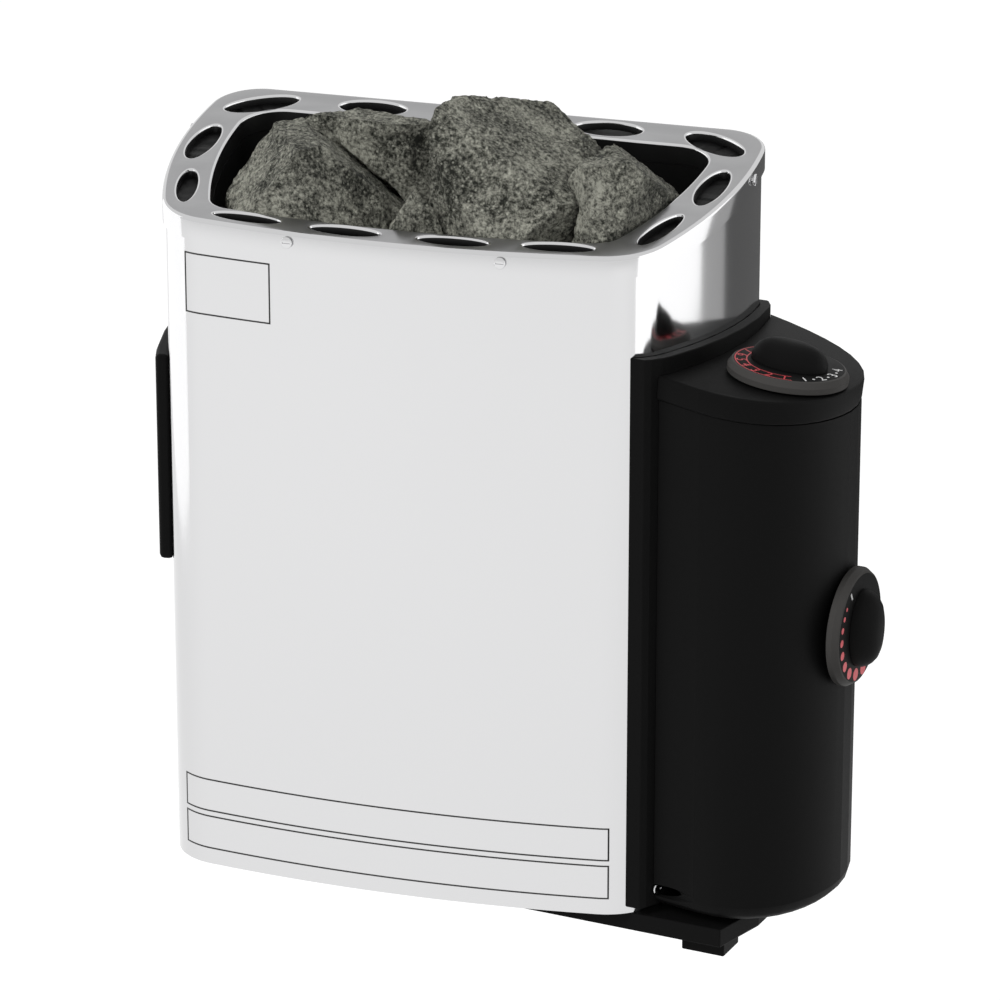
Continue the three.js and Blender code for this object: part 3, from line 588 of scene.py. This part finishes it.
class HEATER_OT_label_frames(Operator):
    """Prints the bare outlines of the plate and labels on the front"""

    bl_idname = "heater.label_frames"
    bl_label = "Label Frames"

    def execute(self, context):
        for name, x0, x1, z0, z1 in LABEL_FRAMES:
            bm = bmesh.new()
            for low, high in ((z0, z0 + LINE_WIDTH), (z1 - LINE_WIDTH, z1)):
                self.add_strip(bm, x0, x1, low, high, LINE_STEPS)
            for left in (x0, x1 - LINE_WIDTH):
                self.add_strip(bm, left, left + LINE_WIDTH, z0, z1, 1)
            finish_piece(bm, name, "black_print", "heater", "polished_steel")
        return {"FINISHED"}

    def add_strip(self, bm, x0, x1, low, high, steps):
        """A thin strip that follows the bowed front."""
        before = None
        for step in range(steps + 1):
            x = x0 + (x1 - x0) * step / steps
            pair = [bm.verts.new((x, front_surface(x) - PRINT_LIFT, z)) for z in (low, high)]
            if before:
                bm.faces.new((before[0], pair[0], pair[1], before[1]))
            before = pair


class HEATER_OT_inner_metal(Operator):
    """Dresses the sheets, elements and fasteners"""

    bl_idname = "heater.inner_metal"
    bl_label = "Inner Metal"

    def execute(self, context):
        for node in ("stone_container", "stone_grate", "bottom_plate", "sensor_cup"):
            dress_node(node, "dark_steel", "dark_steel")
        for index in (1, 2, 3):
            dress_node(f"heating_element_{index}", "dark_steel", "dark_steel")
        for node in ("heat_shield", "element_plate"):
            dress_node(node, "dark_steel", "satin_steel")
        for node in ("back_panel", "wall_bracket"):
            dress_node(node, "inner_sheet", "satin_steel", width=0.3 * MM)
        for node in ("timer_shaft", "thermostat_shaft"):
            dress_node(node, "inner_sheet", "satin_steel", node.replace("shaft", "control"))
        screws = [node for node in sorted(NODES) if "_screw" in node]
        for node in screws:
            dress_node(node, "polished_steel", "polished_steel")
        for node in ("sensor_bulb", "capillary_tube"):
            dress_node(node, "copper", "copper")
        return {"FINISHED"}


def roughen(bm, seed, depth):
    """Breaks a stone's surface with noise at several sizes."""
    shift = Vector((seed * 1.7, seed * 0.9, seed * 2.3))
    bm.normal_update()
    for vert in bm.verts:
        ridge = noise.ridged_multi_fractal(vert.co * 30 + shift, 0.9, 2.1, 5, 0.9, 2.0)
        chips = noise.fractal(vert.co * 110 + shift, 0.7, 2.2, 4)
        lumps = noise.noise(vert.co * 16 + shift)
        vert.co += vert.normal * depth * (0.26 * (ridge - 1.2) + 0.34 * chips + 0.16 * lumps - 0.3)


class HEATER_OT_stones(Operator):
    """Breaks the stone solids into rough rock"""

    bl_idname = "heater.stones"
    bl_label = "Stones"

    def execute(self, context):
        settings = context.scene.heater_stones
        stones = sorted(node for node in NODES if node.startswith("stone_"))
        stones = [node for node in stones if node not in ("stone_container", "stone_grate")]
        for seed, node in enumerate(stones):
            bm = copy_node(node)
            mesh = bpy.data.meshes.new(node)
            bm.to_mesh(mesh)
            bm.free()
            rough = bpy.data.objects.new(node + "_rough", mesh)
            context.scene.collection.objects.link(rough)
            remesh = rough.modifiers.new("grain", "REMESH")
            remesh.mode = "VOXEL"
            remesh.voxel_size = settings.voxel
            depsgraph = context.evaluated_depsgraph_get()
            grained = bpy.data.meshes.new_from_object(rough.evaluated_get(depsgraph))
            bpy.data.objects.remove(rough)
            bm = bmesh.new()
            bm.from_mesh(grained)
            bpy.data.meshes.remove(grained)
            roughen(bm, seed, settings.roughening)
            piece = finish_piece(bm, node + "_rock", "stone", "heater", "stone", node)
            piece.data.shade_smooth()
        return {"FINISHED"}


class HEATER_OT_control_box(Operator):
    """Dresses the control box, flange, cover and tray"""

    bl_idname = "heater.control_box"
    bl_label = "Control Box"

    def execute(self, context):
        for node in ("control_housing", "housing_lid", "side_flange", "under_tray", "tray_clamp"):
            dress_node(node, "black_plastic", "black_plastic", width=0.8 * MM)
        dress_node("blank_cover", "black_plastic", "black_plastic", width=2.5 * MM)
        for node in ("wall_spacer_left", "wall_spacer_right"):
            dress_node(node, "black_plastic", "black_plastic")
        for node in ("limiter_body", "cable_gland", "gland_nut", "wire_loom"):
            dress_node(node, "grey_plastic", "grey_plastic")
        for node in ("terminal_block", "timer_body", "thermostat_body"):
            dress_node(node, "ceramic", "ceramic", width=0.5 * MM)
        dress_node("reset_button", "red_plastic", "red_plastic", "reset_control")
        return {"FINISHED"}


def joint_frame(joint):
    """A frame on a joint's axis: Z out along it, X level."""
    axis = Vector(JOINTS[joint]["axis"]).normalized()
    side = Vector((0, 0, 1)).cross(axis)
    if side.length < 0.2:
        side = Vector((1, 0, 0))
    across = axis.cross(side).normalized()
    side = across.cross(axis)
    turn = Matrix((side, across, axis)).transposed().to_4x4()
    return Matrix.Translation(JOINTS[joint]["pos_m"]) @ turn


DIAL_FACE = 8.0 * MM
PRINT_REACH = 25.8 * MM
# The dial's section as radius and level in mm.
DIAL_PROFILE = ((4, 1), (31.5, 1), (32.5, 1.6), (32.5, 4.6), (30.6, 7.6), (29.6, 8), (4, 8))
# The knob's ellipses as height above its foot, length and width in mm.
KNOB_FOOT = 8.3
KNOB_SECTIONS = (
    (0, 43, 31),
    (3, 42.5, 30),
    (5.5, 40.5, 27.5),
    (7.8, 37, 23.5),
    (10, 31.5, 18),
    (11.5, 24, 12),
    (12.3, 14, 6),
)


def dial_disc(name, joint, body, node):
    """A round grey dial with a chamfered rim and a black face, spun from its profile."""
    bm = bmesh.new()
    verts = [bm.verts.new((radius * MM, 0, height * MM)) for radius, height in DIAL_PROFILE]
    edges = [bm.edges.new(pair) for pair in zip(verts, verts[1:] + verts[:1])]
    bmesh.ops.spin(
        bm, geom=verts + edges, cent=(0, 0, 0), axis=(0, 0, 1), angle=2 * math.pi, steps=96, use_merge=True
    )
    for face in bm.faces:
        if face.calc_center_median().z > 0.99 * DIAL_FACE:
            face.material_index = 1
    bmesh.ops.transform(bm, matrix=joint_frame(joint), verts=bm.verts)
    dial = finish_piece(bm, name, "grey_plastic", body, "grey_plastic", node)
    dial.data.materials.append(MATERIALS["black_plastic"])


def oval_knob(name, joint, body, node, turn):
    """A domed oval knob made from a stack of ellipses."""
    bm = bmesh.new()
    loops = []
    for height, length, width in KNOB_SECTIONS:
        level = (KNOB_FOOT + height) * MM
        loops.append(ellipse_loop(bm, (0, 0), (length * MM, width * MM), turn, 0.0, level))
    for lower, upper in zip(loops, loops[1:]):
        bmesh.ops.bridge_loops(bm, edges=lower + upper)
    bmesh.ops.edgeloop_fill(bm, edges=loops[0])
    bmesh.ops.edgeloop_fill(bm, edges=loops[-1])
    bmesh.ops.transform(bm, matrix=joint_frame(joint), verts=bm.verts)
    finish_piece(bm, name, "black_plastic", body, "black_plastic", node)


def printed_figure(name, text, size, place, material, body):
    """A flat printed figure standing a hair above the dial's face."""
    curve = bpy.data.curves.new(name, "FONT")
    curve.body = text
    curve.size = size
    curve.align_x = "CENTER"
    curve.align_y = "CENTER"
    curve.extrude = PRINT_LIFT
    letter = bpy.data.objects.new(name + "_curve", curve)
    bpy.context.scene.collection.objects.link(letter)
    depsgraph = bpy.context.evaluated_depsgraph_get()
    mesh = bpy.data.meshes.new_from_object(letter.evaluated_get(depsgraph))
    bpy.data.objects.remove(letter)
    bm = bmesh.new()
    bm.from_mesh(mesh)
    bpy.data.meshes.remove(mesh)
    bmesh.ops.transform(bm, matrix=place, verts=bm.verts)
    finish_piece(bm, name, material, body, "grey_plastic")


def printed_band(name, joint, inner, outer, start, end, material, body):
    """A flat printed ring segment on a dial's face."""
    bm = bmesh.new()
    verts = [bm.verts.new((radius, 0, DIAL_FACE + PRINT_LIFT)) for radius in (inner, outer)]
    edge = bm.edges.new(verts)
    bmesh.ops.rotate(bm, cent=(0, 0, 0), matrix=Matrix.Rotation(math.radians(start), 3, "Z"), verts=verts)
    sweep = math.radians(end - start)
    bmesh.ops.spin(bm, geom=verts + [edge], cent=(0, 0, 0), axis=(0, 0, 1), angle=sweep, steps=40)
    bmesh.ops.transform(bm, matrix=joint_frame(joint), verts=bm.verts)
    finish_piece(bm, name, material, body, "grey_plastic")


def printed_dot(name, joint, body, degrees, radius, material):
    """A flat printed dot on a dial's face."""
    angle = math.radians(degrees)
    bm = bmesh.new()
    bmesh.ops.create_circle(bm, cap_ends=True, segments=24, radius=radius)
    level = DIAL_FACE + PRINT_LIFT
    spot = Matrix.Translation((PRINT_REACH * math.cos(angle), PRINT_REACH * math.sin(angle), level))
    bmesh.ops.transform(bm, matrix=joint_frame(joint) @ spot, verts=bm.verts)
    finish_piece(bm, name, material, body, "grey_plastic")


# The timer's print: spans are first and last angles in degrees from the dial's right-hand side.
TIMER_KNOB_TURN = -10
FIGURE_SIZE = 8.2 * MM
RED_HOURS = range(8, 0, -1)
RED_SPAN = (-216, -81)
WHITE_HOURS = range(1, 5)
WHITE_SPAN = (-57, 12)
WHITE_DOT = 0.8 * MM
RED_LINE_SPAN = (-224, -73)
RED_LINE_RADII = (22.4 * MM, 28.6 * MM)
RED_LINE_WIDTH = 0.6 * MM


class HEATER_OT_timer(Operator):
    """Makes the timer dial with its printed hours and domed knob"""

    bl_idname = "heater.timer"
    bl_label = "Timer"

    def execute(self, context):
        joint, body = "timer_turn", "timer_control"
        dial_disc("timer_dial_face", joint, body, "timer_dial")
        oval_knob("timer_knob_dome", joint, body, "timer_knob", TIMER_KNOB_TURN)
        self.print_hours(joint, body, "red", RED_HOURS, *RED_SPAN)
        self.print_hours(joint, body, "white", WHITE_HOURS, *WHITE_SPAN)
        gaps = len(WHITE_HOURS) - 1
        for index in range(gaps):
            angle = WHITE_SPAN[0] + (WHITE_SPAN[1] - WHITE_SPAN[0]) * (index + 0.5) / gaps
            printed_dot(f"timer_dot_{index}", joint, body, angle, WHITE_DOT, "white_print")
        for index, inner in enumerate(RED_LINE_RADII):
            outer = inner + RED_LINE_WIDTH
            printed_band(f"timer_red_line_{index}", joint, inner, outer, *RED_LINE_SPAN, "red_print", body)
        return {"FINISHED"}

    def print_hours(self, joint, body, color, hours, start, end):
        """Spreads the hours evenly round the dial, each figure's foot towards the rim."""
        for index, hour in enumerate(hours):
            angle = math.radians(start + (end - start) * index / (len(hours) - 1))
            spot = Matrix.Rotation(angle, 4, "Z") @ Matrix.Translation((PRINT_REACH, 0, DIAL_FACE))
            turn = Matrix.Rotation(math.pi / 2, 4, "Z")
            place = joint_frame(joint) @ spot @ turn
            name = f"timer_hour_{color}_{hour}"
            printed_figure(name, str(hour), FIGURE_SIZE, place, color + "_print", body)


# The thermostat's print: dots that grow and spread along the rim, and a bar for off.
THERMOSTAT_KNOB_TURN = 84
DOT_COUNT = 9
DOT_START = 139
DOT_STEP = 11.5
DOT_SPREAD = 0.8
DOT_RADIUS = 1.1 * MM
DOT_GROWTH = 0.34 * MM
ZERO_BAR_RADII = (23.4 * MM, 27.8 * MM)
ZERO_BAR_SPAN = (119, 122.5)


class HEATER_OT_thermostat(Operator):
    """Makes the thermostat dial with its growing dots and domed knob"""

    bl_idname = "heater.thermostat"
    bl_label = "Thermostat"

    def execute(self, context):
        joint, body = "thermostat_turn", "thermostat_control"
        dial_disc("thermostat_dial_face", joint, body, "thermostat_dial")
        oval_knob("thermostat_knob_dome", joint, body, "thermostat_knob", THERMOSTAT_KNOB_TURN)
        for index in range(DOT_COUNT):
            angle = DOT_START + (DOT_STEP + DOT_SPREAD * index) * index
            radius = DOT_RADIUS + DOT_GROWTH * index
            printed_dot(f"thermostat_dot_{index}", joint, body, angle, radius, "pale_red_print")
        printed_band("thermostat_zero", joint, *ZERO_BAR_RADII, *ZERO_BAR_SPAN, "white_print", body)
        return {"FINISHED"}


# Stage


def upright(x, y, z, turn):
    """A frame whose Z axis lies level, turned about the vertical."""
    return Matrix.Translation((x, y, z)) @ Euler((math.pi / 2, 0, math.radians(turn))).to_matrix().to_4x4()


def seen_rays(tree):
    """An output that is one for camera, glossy and transmission rays and zero for the rest."""
    path = tree.nodes.new("ShaderNodeLightPath")
    seen = path.outputs["Is Camera Ray"]
    for kind in ("Is Glossy Ray", "Is Transmission Ray"):
        larger = tree.nodes.new("ShaderNodeMath")
        larger.operation = "MAXIMUM"
        tree.links.new(seen, larger.inputs[0])
        tree.links.new(path.outputs[kind], larger.inputs[1])
        seen = larger.outputs["Value"]
    return seen


def glow_when_seen(material, strength):
    """Adds light of its own that only the camera and mirrors see."""
    tree = material.node_tree
    level = tree.nodes.new("ShaderNodeMath")
    level.operation = "MULTIPLY"
    level.inputs[1].default_value = strength
    tree.links.new(seen_rays(tree), level.inputs[0])
    shader = tree.nodes["Principled BSDF"]
    shader.inputs["Emission Color"].default_value = (1.0, 1.0, 1.0, 1.0)
    tree.links.new(level.outputs["Value"], shader.inputs["Emission Strength"])


def stage_panel(name, size, place, color, glow, camera=True):
    """A plain square panel of the studio."""
    bm = bmesh.new()
    bmesh.ops.create_grid(bm, x_segments=1, y_segments=1, size=0.5)
    bmesh.ops.scale(bm, vec=(size[0], size[1], 1.0), verts=bm.verts)
    bmesh.ops.transform(bm, matrix=place, verts=bm.verts)
    mesh = bpy.data.meshes.new(name)
    bm.to_mesh(mesh)
    bm.free()
    panel = bpy.data.objects.new(name, mesh)
    bpy.context.scene.collection.objects.link(panel)
    material = new_material(name, color, 0.8, specular=0.0)[0]
    glow_when_seen(material, glow)
    mesh.materials.append(material)
    panel.visible_camera = camera
    panel.visible_diffuse = camera
    panel.visible_shadow = camera


def soft_lamp(name, location, target, size, power):
    """An area lamp that faces a point."""
    lamp = bpy.data.lights.new(name, "AREA")
    lamp.shape = "RECTANGLE"
    lamp.size, lamp.size_y = size
    lamp.energy = power
    holder = bpy.data.objects.new(name, lamp)
    holder.location = location
    holder.rotation_euler = (Vector(target) - Vector(location)).to_track_quat("-Z", "Y").to_euler()
    holder.visible_glossy = False
    bpy.context.scene.collection.objects.link(holder)


FLOOR_DROP = 0.35
CARD_WHITE = (0.9, 0.9, 0.9, 1.0)
FLOOR_PALE = (0.45, 0.45, 0.45, 1.0)
FLAG_DARK = (0.05, 0.05, 0.05, 1.0)
LAMP_TARGET = (0, -0.1, 0)
SKY_LIGHT = 0.42
SKY_SEEN = 1.0
SENSOR_WIDTH = 36.0
LENS_RATIO = 5.416
CAMERA_SHIFT = 0.0023
CAMERA_PLACE = (0.8687, -2.7660, 1.0334)
CAMERA_TURN = math.radians(17.54)
CAMERA_PITCH = math.radians(20.32)


class HEATER_OT_stage(Operator):
    """Sets the white studio, its lamps and the camera"""

    bl_idname = "heater.stage"
    bl_label = "Stage"

    def execute(self, context):
        scene = context.scene
        scene.view_settings.view_transform = "Standard"
        self.make_world(scene)
        ground = CAD_LOW.z - FLOOR_DROP
        stage_panel("floor", (40, 40), Matrix.Translation((0, 0, ground)), FLOOR_PALE, 0.79)
        card_middle = ground + 0.8
        left = upright(-1.5, 0.2, card_middle, 90)
        right = upright(1.5, 0.3, card_middle, 90)
        stage_panel("card_left", (1.8, 1.5), left, CARD_WHITE, 1.2, camera=False)
        stage_panel("card_right", (2.4, 1.5), right, CARD_WHITE, 1.2, camera=False)
        flag_middle = ground + 0.36
        near = upright(0.30, 1.0, flag_middle, 0)
        far = upright(1.00, 1.0, flag_middle, 0)
        stage_panel("dark_flag", (1.05, 0.7), near, FLAG_DARK, 0.09, camera=False)
        stage_panel("grey_flag", (0.35, 0.7), far, FLAG_DARK, 0.45, camera=False)
        soft_lamp("key", (-1.6, -2.4, 2.6), LAMP_TARGET, (1.2, 1.2), 85)
        soft_lamp("fill", (2.2, -2.6, 1.2), LAMP_TARGET, (1.8, 1.8), 28)
        self.make_camera(scene)
        return {"FINISHED"}

    def make_world(self, scene):
        """A white surround that lights the heater less than it shows."""
        world = bpy.data.worlds.new("white_studio")
        world.use_nodes = True
        scene.world = world
        tree = world.node_tree
        background = tree.nodes["Background"]
        level = tree.nodes.new("ShaderNodeMapRange")
        level.inputs["To Min"].default_value = SKY_LIGHT
        level.inputs["To Max"].default_value = SKY_SEEN
        tree.links.new(seen_rays(tree), level.inputs["Value"])
        tree.links.new(level.outputs["Result"], background.inputs["Strength"])
        background.inputs["Color"].default_value = (1.0, 1.0, 1.0, 1.0)

    def make_camera(self, scene):
        """A long lens that looks down at the front and the control box."""
        camera = bpy.data.cameras.new("camera")
        camera.sensor_width = SENSOR_WIDTH
        camera.lens = SENSOR_WIDTH * LENS_RATIO
        camera.shift_x = CAMERA_SHIFT
        camera.clip_start, camera.clip_end = 0.1, 100.0
        holder = bpy.data.objects.new("camera", camera)
        level = math.cos(CAMERA_PITCH)
        forward = Vector(
            (-math.sin(CAMERA_TURN) * level, math.cos(CAMERA_TURN) * level, -math.sin(CAMERA_PITCH))
        )
        holder.rotation_euler = forward.to_track_quat("-Z", "Y").to_euler()
        holder.location = CAMERA_PLACE
        scene.collection.objects.link(holder)
        scene.camera = holder


class HEATER_PT_panel(Panel):
    """Lists the heater's pieces"""

    bl_label = "Sauna Heater"
    bl_idname = "HEATER_PT_panel"
    bl_space_type = "VIEW_3D"
    bl_region_type = "UI"
    bl_category = "Heater"

    def draw(self, context):
        for name in STEPS:
            self.layout.operator("heater." + name)


STEPS = (
    "casing",
    "collar",
    "label_frames",
    "inner_metal",
    "stones",
    "control_box",
    "timer",
    "thermostat",
    "stage",
)
CLASSES = (
    HeaterMetal,
    HeaterStones,
    HeaterControls,
    HEATER_OT_casing,
    HEATER_OT_collar,
    HEATER_OT_label_frames,
    HEATER_OT_inner_metal,
    HEATER_OT_stones,
    HEATER_OT_control_box,
    HEATER_OT_timer,
    HEATER_OT_thermostat,
    HEATER_OT_stage,
    HEATER_PT_panel,
)


def register():
    for cls in CLASSES:
        bpy.utils.register_class(cls)
    bpy.types.Scene.heater_metal = PointerProperty(type=HeaterMetal)
    bpy.types.Scene.heater_stones = PointerProperty(type=HeaterStones)
    bpy.types.Scene.heater_controls = PointerProperty(type=HeaterControls)


def unregister():
    del bpy.types.Scene.heater_controls
    del bpy.types.Scene.heater_stones
    del bpy.types.Scene.heater_metal
    for cls in reversed(CLASSES):
        bpy.utils.unregister_class(cls)


def main():
    register()
    make_materials(bpy.context.scene)
    for name in STEPS:
        getattr(bpy.ops.heater, name)()


if __name__ == "__main__":
    main()
